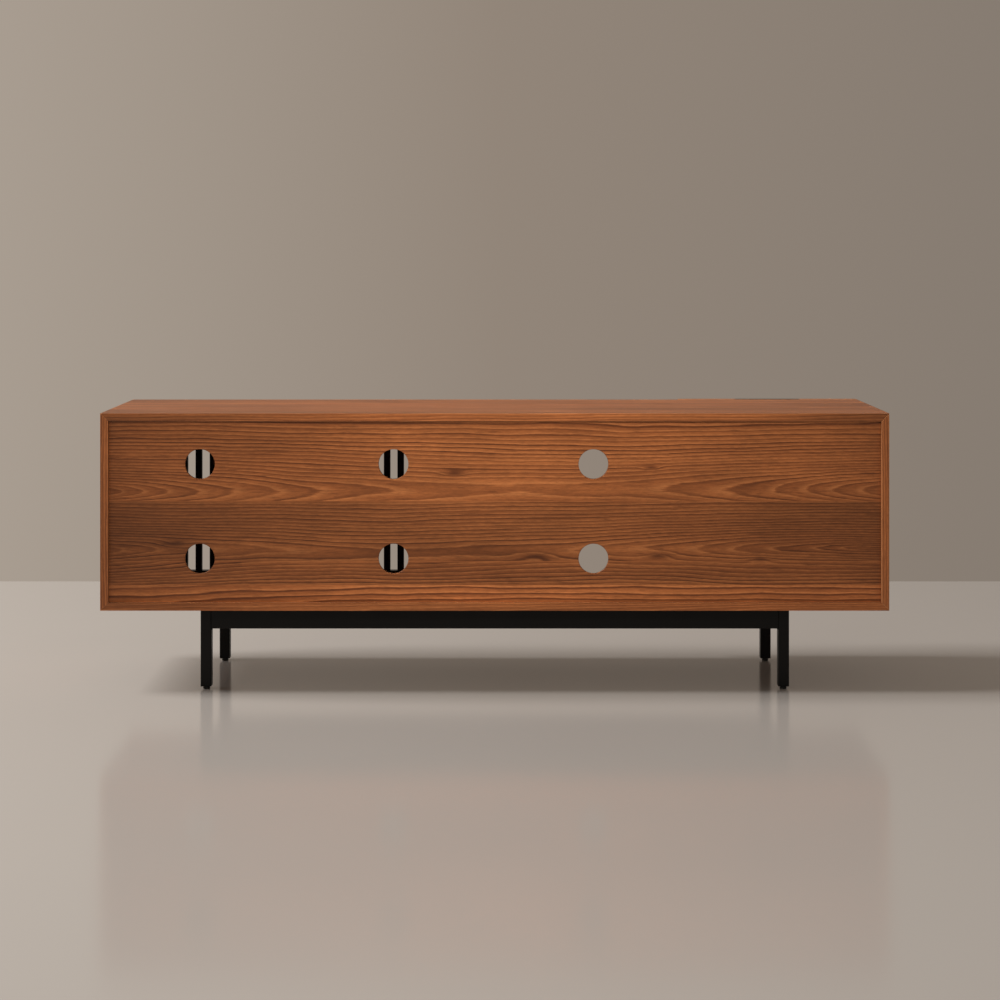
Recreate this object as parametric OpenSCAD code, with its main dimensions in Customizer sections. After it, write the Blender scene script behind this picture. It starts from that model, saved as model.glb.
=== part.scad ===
// Media cabinet. A mitred veneered case stands on a steel tube base and holds two slatted pivot
// doors, one open bay and two drawers on telescopic runners.
// Millimetres. Z is up, the front faces -Y, the origin is on the floor under the centre of the
// overall box. Left and right are as seen from the front, so right is +X.

/* [Case] */
// Width of the case
case_w = 1800; // [1700:10:1900]
// Depth of the case from its rear edge to its front edge
case_d = 400; // [395:5:440]
// Height of the case without the base
case_h = 450; // [440:5:480]
// Thickness of the case panels, partitions and shelves
panel = 18; // [16:1:20]
// Thickness of the back panel
back_t = 9; // [6:1:12]
// Distance of the back panel from the rear edges of the case
back_inset = 10; // [6:1:16]
// Diameter of the cable holes in the back panel
cable_hole_d = 68; // [50:1:80]
// Clear width of the bay behind the outer door
outer_bay = 416; // [390:1:430]
// Clear width of the bay behind the inner door
inner_bay = 433; // [410:1:450]
// Clear width of the drawer bay
drawer_bay = 416; // [400:1:440]

/* [Doors] */
// Distance from the rear edge of the case to the rear face of the doors
door_set = 326; // [316:1:330]
// Thickness of the door frames
door_t = 18; // [16:1:20]
// Gap between a door and the case all round
door_gap = 3; // [3:0.5:4]
// Width of the door stiles
stile_w = 22; // [20:1:28]
// Height of the door rails
rail_h = 16; // [14:1:24]
// Width of one slat
slat_w = 16; // [12:1:18]
// Depth of one slat
slat_t = 12; // [8:1:12]
// Number of slats in the outer door
outer_slats = 10; // [8:1:11]
// Number of slats in the inner door
inner_slats = 11; // [8:1:11]

/* [Drawers] */
// Thickness of the drawer fronts
front_t = 22; // [18:1:25]
// Gap between the drawer fronts and the front edges of the case
front_gap = 2; // [1.5:0.5:4]
// Height of the drawer boxes
box_h = 150; // [120:5:160]
// Length of the drawer boxes from front to back
box_d = 350; // [340:5:360]
// Length of the edge pulls
pull_w = 160; // [100:10:200]
// How far the lip of an edge pull stands in front of the drawer front
pull_reach = 10; // [6:1:14]

/* [Base] */
// Height of the base with its feet
base_h = 190; // [150:5:220]
// Width of the base frame
base_w = 1356; // [1200:2:1500]
// Depth of the base frame
base_d = 330; // [300:5:340]
// Distance of the base frame from the rear edge of the case
base_inset = 45; // [30:1:50]
// Side of the square leg tube
leg_w = 25; // [22:1:30]
// Height of the rail tube
beam_h = 50; // [40:1:60]
// Height of the levelling feet below the legs
foot_h = 7; // [6:1:14]

/* [Hidden] */
$fn = 64;
// Overlap that keeps cuts clear of the faces they open
cut = 0.5;

// Overall frame
total_d = case_d + front_gap + front_t + pull_reach;
rear_y = total_d / 2;
front_y = rear_y - case_d;
total_h = base_h + case_h;
middle_z = base_h + case_h / 2;

// Inside faces of the case
in_x = case_w / 2 - panel;
in_z0 = base_h + panel;
in_z1 = total_h - panel;
back_y = rear_y - back_inset - back_t;
groove = 6;
groove_rest = 0.5;

// Partition centres and the clear faces of the bays
right_part = in_x - outer_bay - panel / 2;
centre_part = right_part - panel - inner_bay;
left_part = -in_x + drawer_bay + panel / 2;
open_x0 = left_part + panel / 2;
open_x1 = centre_part - panel / 2;
inner_x0 = centre_part + panel / 2;
inner_x1 = right_part - panel / 2;
outer_x0 = right_part + panel / 2;
parts_x = [left_part, centre_part, right_part];

// Shelves rest on pins half way up, and the cable holes sit in the middle of each compartment
shelf_z0 = middle_z - panel / 2;
shelf_z1 = shelf_z0 + panel;
shelf_play = 0.5;
shelf_set = 5;
door_shelf_set = 16;
door_shelf_y = rear_y - door_set + door_shelf_set;
hole_z = [(in_z0 + shelf_z0) / 2, (shelf_z1 + in_z1) / 2];
hole_x = [(open_x0 + open_x1) / 2, (inner_x0 + inner_x1) / 2, (outer_x0 + in_x) / 2];
pin_r = 2.5;
pin_in = 7.5;
pin_out = 7.5;
pin_end = 40;

// Dowels of the partitions and loose splines of the mitred corners
dowel_r = 4;
dowel_in_panel = 10;
dowel_in_part = 18;
dowel_end = 42;
dowel_y = [front_y + dowel_end, (front_y + back_y) / 2, back_y - dowel_end];
spline_t = 4;
spline_w = 14;
spline_from_inside = 6;
spline_from_front = 20;
spline_from_back = 8;
spline_y0 = front_y + spline_from_front;
spline_y1 = back_y - spline_from_back;

// Doors
door_y1 = rear_y - door_set;
door_y0 = door_y1 - door_t;
door_mid_y = door_y1 - door_t / 2;
door_z0 = in_z0 + door_gap;
door_z1 = in_z1 - door_gap;
outer_door = [outer_x0 + door_gap, in_x - door_gap];
inner_door = [inner_x0 + door_gap, inner_x1 - door_gap];
hinge_edge = 14;
outer_hinge_x = outer_door[1] - hinge_edge;
inner_hinge_x = inner_door[0] + hinge_edge;
edge_chamfer = 2;
tenon = [4, 8, 10];
slat_housing = 5;

// Pivot pins turn in flanged bushes let into the top and bottom of the case
pivot_r = 3;
pivot_in_door = 14;
pivot_in_bush = 8;
pivot_play = 0.05;
collar_r = 5.5;
bush_r = 5;
bush_depth = 10;
bush_floor = 1;
flange_r = 7;
flange_t = 1;
collar_play = 0.2;
collar_t = door_gap - flange_t - collar_play;

// Magnetic catches on the partition between the doors, and their strike plates
strike_t = 1.5;
strike_w = 14;
strike_edge = 1;
catch_w = 14;
catch_h = 44;
catch_d = 20;
catch_drop = 10;
catch_z = shelf_z0 - catch_drop - catch_h;
pole_t = 1.6;
pole_out = 1.7;
pole_in_x = 3;
pole_in_z = 4;
catch_play = 0.3;

// Drawers
front_x0 = -case_w / 2;
front_overlap = 1;
front_x1 = left_part + front_overlap;
front_split = 3;
front_y1 = front_y - front_gap;
front_y0 = front_y1 - front_t;
lower_front = [base_h, middle_z - front_split / 2];
upper_front = [middle_z + front_split / 2, total_h];
runner_t = 12.7;
box_x0 = -in_x + runner_t;
box_x1 = left_part - panel / 2 - runner_t;
box_t = 12;
lower_box_up = 32;
upper_box_up = 14;
lower_box_z = lower_front[0] + lower_box_up;
upper_box_z = upper_front[0] + upper_box_up;
floor_t = 6;
floor_up = 10;
floor_in = 6;
pull_t = 1.5;
pull_seat = 20;
lip_edge = pull_t * sin(45);

// Telescopic runners: heights from the runner centre line, depths from the fixed face
runner_up = 60;
runner_wall = 1.2;
runner_from_front = 3;
runner_y0 = front_y + runner_from_front;
fixed_len = 350;
middle_len = 330;
moving_len = 346;
fixed_half = 22.5;
fixed_lip = 7.5;
middle_half = 18.8;
middle_web = 3.5;
middle_lip = 9.2;
moving_half = 15.2;
moving_lip = 6.5;
ball_r = 1.3;
outer_ball = [5.8, 19.7];
inner_ball = [8, 16.7];
ball_count = 5;
ball_margin = 10;
ball_gap = 20;

// Base
base_y1 = rear_y - base_inset;
base_y0 = base_y1 - base_d;
leg_x = base_w / 2 - leg_w / 2;
leg_y = [base_y0 + leg_w / 2, base_y1 - leg_w / 2];
tube_r = 2.5;
tube_wall = 1.5;
beam_z0 = base_h - beam_h;
insert_h = 20;
stem_r = 4;
stem_play = 0.05;
stem_h = 22;
foot_r = 8;
foot_pad_h = 4.5;
foot_neck_r = 6;
foot_chamfer = 1;
tab = [40, 30, 3];
tab_x = [-base_w / 2 + leg_w + tab[0] / 2, 0, base_w / 2 - leg_w - tab[0] / 2];
tab_y = [base_y0 + leg_w + tab[1] / 2, base_y1 - leg_w - tab[1] / 2];
tab_hole_r = 2.8;
screw_r = 2.2;
screw_in = 13;
screw_head_r = 4.2;
screw_head_h = 2.6;

walnut = [0.50, 0.31, 0.20];
black = [0.06, 0.06, 0.06];
birch = [0.86, 0.76, 0.58];
zinc = [0.72, 0.73, 0.75];
beech = [0.80, 0.64, 0.44];

// ---- shared shapes ----

// A box between two corners
module block(from, to)
    translate(from)
        cube(to - from);

// A case panel with both ends mitred, outer face up at z = 0
module mitred_panel(length)
    translate([0, rear_y, 0])
        rotate([90, 0, 0])
            linear_extrude(case_d)
                polygon([
                    [-length / 2, 0], [length / 2, 0],
                    [length / 2 - panel, -panel], [-length / 2 + panel, -panel]
                ]);

// A rectangle with rounded corners
module round_rect(w, h, r) {
    square([w - 2 * r, h], center = true);
    square([w, h - 2 * r], center = true);
    for (x = [-1, 1], y = [-1, 1])
        translate([x * (w / 2 - r), y * (h / 2 - r)])
            circle(r);
}

// A rectangular tube along +Z
module tube(w, h, length)
    linear_extrude(length)
        difference() {
            round_rect(w, h, tube_r);
            round_rect(w - 2 * tube_wall, h - 2 * tube_wall, tube_r - tube_wall);
        }

// ---- case ----

// Space that the back panel takes, with its tongues in the grooves
module back_space(into, y_gap = 0)
    block(
        [-in_x - into, back_y - y_gap, in_z0 - into],
        [in_x + into, back_y + back_t + y_gap, in_z1 + into]
    );

module spline_bodies()
    for (x = [-1, 1], z = [0, 1])
        translate([
            x * (in_x + spline_from_inside),
            0,
            z == 1 ? in_z1 + spline_from_inside : in_z0 - spline_from_inside
        ])
            rotate([0, (z == 1 ? 1 : -1) * x * 45, 0])
                translate([-spline_w / 2, spline_y0, -spline_t / 2])
                    cube([spline_w, spline_y1 - spline_y0, spline_t]);

module dowel_bodies()
    for (x = parts_x, y = dowel_y) {
        translate([x, y, in_z0 - dowel_in_panel])
            cylinder(r = dowel_r, h = dowel_in_panel + dowel_in_part);
        translate([x, y, in_z1 - dowel_in_part])
            cylinder(r = dowel_r, h = dowel_in_panel + dowel_in_part);
    }

// Four pins under one shelf between two faces
module pins_between(x0, x1, y0)
    for (y = [y0 + pin_end, back_y - pin_end])
        for (x = [x0 - pin_in, x1 - pin_out])
            translate([x, y, shelf_z0 - pin_r])
                rotate([0, 90, 0])
                    cylinder(r = pin_r, h = pin_in + pin_out);

module pin_bodies() {
    pins_between(open_x0, open_x1, front_y + shelf_set);
    pins_between(inner_x0, inner_x1, door_shelf_y);
    pins_between(outer_x0, in_x, door_shelf_y);
}

// Bore of one bush in the case, and the bush itself
module bush_seat(x)
    for (z = [in_z0 - bush_depth, in_z1])
        translate([x, door_mid_y, z])
            cylinder(r = bush_r, h = bush_depth);

module screw_shanks()
    for (x = tab_x, y = tab_y)
        translate([x, y, base_h - tab[2]])
            cylinder(r = screw_r, h = tab[2] + screw_in);

module case_top()
    color(walnut)
        difference() {
            translate([0, 0, total_h])
                mitred_panel(case_w);
            back_space(groove);
            spline_bodies();
            dowel_bodies();
            bush_seat(outer_hinge_x);
            bush_seat(inner_hinge_x);
        }

module case_bottom()
    color(walnut)
        difference() {
            translate([0, 0, base_h])
                mirror([0, 0, 1])
                    mitred_panel(case_w);
            back_space(groove);
            spline_bodies();
            dowel_bodies();
            bush_seat(outer_hinge_x);
            bush_seat(inner_hinge_x);
            screw_shanks();
        }

module case_side(side)
    color(walnut)
        difference() {
            translate([side * case_w / 2, 0, middle_z])
                rotate([0, side * 90, 0])
                    mitred_panel(case_h);
            back_space(groove);
            spline_bodies();
            pin_bodies();
        }

module case_side_left()
    case_side(-1);

module case_side_right()
    case_side(1);

module case_back()
    color(walnut)
        difference() {
            back_space(groove - groove_rest);
            for (x = hole_x, z = hole_z)
                translate([x, back_y - cut, z])
                    rotate([-90, 0, 0])
                        cylinder(d = cable_hole_d, h = back_t + 2 * cut);
        }

module partition(x)
    color(walnut)
        difference() {
            block([x - panel / 2, front_y, in_z0], [x + panel / 2, back_y, in_z1]);
            dowel_bodies();
            pin_bodies();
        }

module partition_left()
    partition(left_part);

module partition_centre()
    partition(centre_part);

module partition_right()
    partition(right_part);

module shelf(x0, x1, y0)
    color(walnut)
        block([x0 + shelf_play, y0, shelf_z0], [x1 - shelf_play, back_y, shelf_z1]);

module shelf_open()
    shelf(open_x0, open_x1, front_y + shelf_set);

module shelf_inner()
    shelf(inner_x0, inner_x1, door_shelf_y);

module shelf_outer()
    shelf(outer_x0, in_x, door_shelf_y);

module shelf_pins()
    color(zinc)
        pin_bodies();

module dowels()
    color(beech)
        dowel_bodies();

module corner_splines()
    color(beech)
        spline_bodies();

// ---- doors ----

// x of the left side of slat number i in a door with that many slats
function slat_x(door, count, i) =
    let (inside = door[1] - door[0] - 2 * stile_w)
    let (space = (inside - count * slat_w) / (count + 1))
    door[0] + stile_w + space + i * (slat_w + space);

module slat_bodies(door, count)
    for (i = [0:count - 1])
        translate([
            slat_x(door, count, i), door_mid_y - slat_t / 2, door_z0 + rail_h - slat_housing
        ])
            cube([slat_w, slat_t, door_z1 - door_z0 - 2 * rail_h + 2 * slat_housing]);

// Both rails of a door with the tenons that enter the stiles
module rail_bodies(door)
    for (z = [door_z0, door_z1 - rail_h]) {
        block(
            [door[0] + stile_w, door_y0, z],
            [door[1] - stile_w, door_y1, z + rail_h]
        );
        translate([door[0] + stile_w - tenon[0], door_mid_y - tenon[1] / 2, z])
            translate([0, 0, (rail_h - tenon[2]) / 2])
                cube([door[1] - door[0] - 2 * stile_w + 2 * tenon[0], tenon[1], tenon[2]]);
    }

// One stile from x to x + stile_w
module stile_body(x)
    block([x, door_y0, door_z0], [x + stile_w, door_y1, door_z1]);

// The hinge stile of a door, its outer edges chamfered so that it turns clear of the case
module hinge_stile_body(x, hinge_right)
    translate([hinge_right ? x : x + stile_w, door_y0, door_z0])
        mirror([hinge_right ? 0 : 1, 0, 0])
            linear_extrude(door_z1 - door_z0)
                polygon([
                    [0, 0], [stile_w - edge_chamfer, 0], [stile_w, edge_chamfer],
                    [stile_w, door_t - edge_chamfer], [stile_w - edge_chamfer, door_t], [0, door_t]
                ]);

// Pins of one door: a plain end in the stile, a collar in the gap and an end in the bush
module pivot_bodies(x) {
    reach = pivot_in_door + door_gap + pivot_in_bush;
    translate([x, door_mid_y, in_z0 - pivot_in_bush])
        cylinder(r = pivot_r, h = reach);
    translate([x, door_mid_y, door_z0 - collar_t])
        cylinder(r = collar_r, h = collar_t);
    translate([x, door_mid_y, in_z1 + pivot_in_bush - reach])
        cylinder(r = pivot_r, h = reach);
    translate([x, door_mid_y, door_z1])
        cylinder(r = collar_r, h = collar_t);
}

module door_stiles(door, hinge_x, hinge_right)
    color(black)
        difference() {
            union() {
                stile_body(hinge_right ? door[0] : door[1] - stile_w);
                hinge_stile_body(hinge_right ? door[1] - stile_w : door[0], hinge_right);
            }
            rail_bodies(door);
            pivot_bodies(hinge_x);
        }

module door_rails(door, count)
    color(black)
        difference() {
            rail_bodies(door);
            slat_bodies(door, count);
        }

// Strike plate on the rear face of the stile that meets the partition between the doors
module strike(x0)
    color(zinc)
        block(
            [x0, door_y1, catch_z],
            [x0 + strike_w, door_y1 + strike_t, catch_z + catch_h]
        );

module outer_door_stiles()
    door_stiles(outer_door, outer_hinge_x, true);

module outer_door_rails()
    door_rails(outer_door, outer_slats);

module outer_door_slats()
    color(black)
        slat_bodies(outer_door, outer_slats);

module outer_door_pivots()
    color(zinc)
        pivot_bodies(outer_hinge_x);

module outer_door_strike()
    strike(outer_door[0] + strike_edge);

module inner_door_stiles()
    door_stiles(inner_door, inner_hinge_x, false);

module inner_door_rails()
    door_rails(inner_door, inner_slats);

module inner_door_slats()
    color(black)
        slat_bodies(inner_door, inner_slats);

module inner_door_pivots()
    color(zinc)
        pivot_bodies(inner_hinge_x);

module inner_door_strike()
    strike(inner_door[1] - strike_edge - strike_w);

// One bush with its flange in the door gap, open end up
module bush()
    difference() {
        union() {
            translate([0, 0, -bush_depth])
                cylinder(r = bush_r, h = bush_depth);
            cylinder(r = flange_r, h = flange_t);
        }
        translate([0, 0, bush_floor - bush_depth])
            cylinder(r = pivot_r + pivot_play, h = bush_depth + flange_t);
    }

module pivot_bushes()
    color(birch)
        for (x = [outer_hinge_x, inner_hinge_x]) {
            translate([x, door_mid_y, in_z0])
                bush();
            translate([x, door_mid_y, in_z1])
                mirror([0, 0, 1])
                    bush();
        }

// A catch body with two pole plates that face the strike plate
module magnet_catch(x0) {
    face_y = door_y1 + strike_t + catch_play;
    block(
        [x0, face_y + pole_out, catch_z],
        [x0 + catch_w, face_y + catch_d, catch_z + catch_h]
    );
    for (x = [x0 + pole_in_x, x0 + catch_w - pole_in_x - pole_t])
        block(
            [x, face_y, catch_z + pole_in_z],
            [x + pole_t, face_y + pole_out, catch_z + catch_h - pole_in_z]
        );
}

module magnet_catches()
    color(black) {
        magnet_catch(outer_x0);
        magnet_catch(inner_x1 - catch_w);
    }

// ---- drawers ----

// Bent plate: a seat let into the top edge of the front and a lip that slopes down and forward
module pull_body(front)
    translate([(front_x0 + front_x1) / 2 - pull_w / 2, front_y0, front[1]])
        rotate([90, 0, 90])
            linear_extrude(pull_w)
                polygon([
                    [pull_seat, 0], [0, 0], [-pull_reach, -pull_reach],
                    [lip_edge - pull_reach, -lip_edge - pull_reach],
                    [0, -2 * lip_edge], [0, -pull_t], [pull_seat, -pull_t]
                ]);

module drawer_front(front)
    color(walnut)
        difference() {
            block([front_x0, front_y0, front[0]], [front_x1, front_y1, front[1]]);
            translate([(front_x0 + front_x1) / 2 - pull_w / 2, front_y0 - cut, front[1] - pull_t])
                cube([pull_w, pull_seat + cut, pull_t + cut]);
        }

module box_floor_body(z)
    block(
        [box_x0 + box_t - floor_in, front_y1 + box_t - floor_in, z + floor_up],
        [
            box_x1 - box_t + floor_in, front_y1 + box_d - box_t + floor_in,
            z + floor_up + floor_t
        ]
    );

// A cross piece of the box between the sides, with its near face at y
module box_cross(z, y)
    color(birch)
        difference() {
            block([box_x0 + box_t, y, z], [box_x1 - box_t, y + box_t, z + box_h]);
            box_floor_body(z);
        }

module box_sides(z)
    color(birch)
        difference() {
            union() {
                block([box_x0, front_y1, z], [box_x0 + box_t, front_y1 + box_d, z + box_h]);
                block([box_x1 - box_t, front_y1, z], [box_x1, front_y1 + box_d, z + box_h]);
            }
            box_floor_body(z);
        }

// A channel with its web from web_u to web_u + wall and its lips reaching out to lip_u
module channel(web_u, lip_u, half, length) {
    low = min(web_u, lip_u);
    high = max(web_u + runner_wall, lip_u);
    block([web_u, 0, -half], [web_u + runner_wall, length, half]);
    block([low, 0, half - runner_wall], [high, length, half]);
    block([low, 0, -half], [high, length, -half + runner_wall]);
}

// Places a runner member at both sides of the drawer bay, its u axis pointing into the bay
module both_runners(box_z) {
    z = box_z + runner_up;
    translate([-in_x, runner_y0, z])
        children();
    translate([left_part - panel / 2, runner_y0, z])
        mirror([1, 0, 0])
            children();
}

module ball_row(position, y0, y1)
    for (i = [0:ball_count - 1], side = [-1, 1])
        translate([position[0], y0 + (y1 - y0) * i / (ball_count - 1), side * position[1]])
            sphere(ball_r);

module runner_fixed(box_z)
    color(zinc)
        both_runners(box_z)
            channel(0, fixed_lip, fixed_half, fixed_len);

module runner_middle(box_z)
    color(zinc)
        both_runners(box_z) {
            channel(middle_web, middle_lip, middle_half, middle_len);
            ball_row(outer_ball, middle_len / 2 + ball_gap, middle_len - ball_margin);
            ball_row(inner_ball, ball_margin, middle_len / 2 - ball_gap);
        }

module runner_moving(box_z)
    color(zinc)
        both_runners(box_z)
            channel(runner_t - runner_wall, moving_lip, moving_half, moving_len);

module upper_drawer_front()
    drawer_front(upper_front);

module upper_drawer_pull()
    color(black)
        pull_body(upper_front);

module upper_box_front()
    box_cross(upper_box_z, front_y1);

module upper_box_sides()
    box_sides(upper_box_z);

module upper_box_back()
    box_cross(upper_box_z, front_y1 + box_d - box_t);

module upper_box_floor()
    color(birch)
        box_floor_body(upper_box_z);

module upper_runner_moving()
    runner_moving(upper_box_z);

module upper_runner_middle()
    runner_middle(upper_box_z);

module upper_runner_fixed()
    runner_fixed(upper_box_z);

module lower_drawer_front()
    drawer_front(lower_front);

module lower_drawer_pull()
    color(black)
        pull_body(lower_front);

module lower_box_front()
    box_cross(lower_box_z, front_y1);

module lower_box_sides()
    box_sides(lower_box_z);

module lower_box_back()
    box_cross(lower_box_z, front_y1 + box_d - box_t);

module lower_box_floor()
    color(birch)
        box_floor_body(lower_box_z);

module lower_runner_moving()
    runner_moving(lower_box_z);

module lower_runner_middle()
    runner_middle(lower_box_z);

module lower_runner_fixed()
    runner_fixed(lower_box_z);

// ---- base ----

module leg(x, y)
    color(black)
        translate([x, y, foot_h])
            tube(leg_w, leg_w, base_h - foot_h);

module leg_front_left()
    leg(-leg_x, leg_y[0]);

module leg_front_right()
    leg(leg_x, leg_y[0]);

module leg_rear_left()
    leg(-leg_x, leg_y[1]);

module leg_rear_right()
    leg(leg_x, leg_y[1]);

module long_rail(y)
    color(black)
        translate([-base_w / 2 + leg_w, y, beam_z0 + beam_h / 2])
            rotate([0, 90, 0])
                tube(beam_h, leg_w, base_w - 2 * leg_w);

module cross_rail(x)
    color(black)
        translate([x, base_y1 - leg_w, beam_z0 + beam_h / 2])
            rotate([90, 0, 0])
                tube(leg_w, beam_h, base_d - 2 * leg_w);

module rail_front()
    long_rail(leg_y[0]);

module rail_rear()
    long_rail(leg_y[1]);

module rail_left()
    cross_rail(-leg_x);

module rail_right()
    cross_rail(leg_x);

module base_tabs()
    color(black)
        for (x = tab_x, y = tab_y)
            translate([x, y, base_h - tab[2]])
                difference() {
                    translate([-tab[0] / 2, -tab[1] / 2, 0])
                        cube(tab);
                    translate([0, 0, -cut])
                        cylinder(r = tab_hole_r, h = tab[2] + 2 * cut);
                }

module base_screws()
    color(zinc) {
        screw_shanks();
        for (x = tab_x, y = tab_y)
            translate([x, y, base_h - tab[2] - screw_head_h])
                cylinder(r = screw_head_r, h = screw_head_h);
    }

module leg_inserts()
    color(black)
        for (x = [-leg_x, leg_x], y = leg_y)
            translate([x, y, foot_h])
                difference() {
                    linear_extrude(insert_h)
                        round_rect(
                            leg_w - 2 * tube_wall, leg_w - 2 * tube_wall, tube_r - tube_wall
                        );
                    translate([0, 0, -cut])
                        cylinder(r = stem_r + stem_play, h = insert_h + 2 * cut);
                }

module foot(x, y)
    color(black)
        translate([x, y, 0]) {
            cylinder(r1 = foot_r - foot_chamfer, r2 = foot_r, h = foot_chamfer);
            translate([0, 0, foot_chamfer])
                cylinder(r = foot_r, h = foot_pad_h - foot_chamfer);
            translate([0, 0, foot_pad_h])
                cylinder(r = foot_neck_r, h = foot_h - foot_pad_h);
            translate([0, 0, foot_h])
                cylinder(r = stem_r, h = stem_h);
        }

module foot_front_left()
    foot(-leg_x, leg_y[0]);

module foot_front_right()
    foot(leg_x, leg_y[0]);

module foot_rear_left()
    foot(-leg_x, leg_y[1]);

module foot_rear_right()
    foot(leg_x, leg_y[1]);

case_top();
case_bottom();
case_side_left();
case_side_right();
case_back();
partition_left();
partition_centre();
partition_right();
shelf_open();
shelf_inner();
shelf_outer();
shelf_pins();
dowels();
corner_splines();
outer_door_stiles();
outer_door_rails();
outer_door_slats();
outer_door_pivots();
outer_door_strike();
inner_door_stiles();
inner_door_rails();
inner_door_slats();
inner_door_pivots();
inner_door_strike();
pivot_bushes();
magnet_catches();
upper_drawer_front();
upper_drawer_pull();
upper_box_front();
upper_box_sides();
upper_box_back();
upper_box_floor();
upper_runner_moving();
upper_runner_middle();
upper_runner_fixed();
lower_drawer_front();
lower_drawer_pull();
lower_box_front();
lower_box_sides();
lower_box_back();
lower_box_floor();
lower_runner_moving();
lower_runner_middle();
lower_runner_fixed();
leg_front_left();
leg_front_right();
leg_rear_left();
leg_rear_right();
rail_front();
rail_rear();
rail_left();
rail_right();
base_tabs();
base_screws();
leg_inserts();
foot_front_left();
foot_front_right();
foot_rear_left();
foot_rear_right();
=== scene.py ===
"""The look of the media cabinet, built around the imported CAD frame.

Metres, Z up. The front with the doors and drawers faces -Y and the back panel faces +Y, which is
the side that the camera sees. Every CAD board, tube and fitting stays where the frame has it and
gets its material, its softened edges and the small fixings that go with it.
"""

import math
import random
from collections import namedtuple

import bmesh
import bpy
from mathutils import Matrix, Vector


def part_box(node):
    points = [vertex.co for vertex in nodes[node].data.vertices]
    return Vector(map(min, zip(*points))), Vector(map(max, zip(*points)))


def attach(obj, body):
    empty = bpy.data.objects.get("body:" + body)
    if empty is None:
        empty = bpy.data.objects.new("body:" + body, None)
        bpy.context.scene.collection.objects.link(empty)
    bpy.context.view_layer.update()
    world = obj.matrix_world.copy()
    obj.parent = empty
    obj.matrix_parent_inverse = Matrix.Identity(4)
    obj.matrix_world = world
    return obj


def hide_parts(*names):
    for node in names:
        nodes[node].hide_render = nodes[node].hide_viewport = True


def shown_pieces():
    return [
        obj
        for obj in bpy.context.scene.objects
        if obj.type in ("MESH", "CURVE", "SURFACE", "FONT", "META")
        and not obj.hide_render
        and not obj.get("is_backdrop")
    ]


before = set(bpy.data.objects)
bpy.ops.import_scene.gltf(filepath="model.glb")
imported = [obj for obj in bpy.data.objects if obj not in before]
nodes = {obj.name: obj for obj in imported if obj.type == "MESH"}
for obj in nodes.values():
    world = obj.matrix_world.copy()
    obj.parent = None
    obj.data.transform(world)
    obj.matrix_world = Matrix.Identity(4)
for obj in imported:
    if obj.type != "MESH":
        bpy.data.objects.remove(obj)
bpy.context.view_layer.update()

# The rear edge of the case, which the camera and the floor are placed by
case_rear_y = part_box("case_top")[1].y


# ---------------------------------------------------------------- node trees


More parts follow.
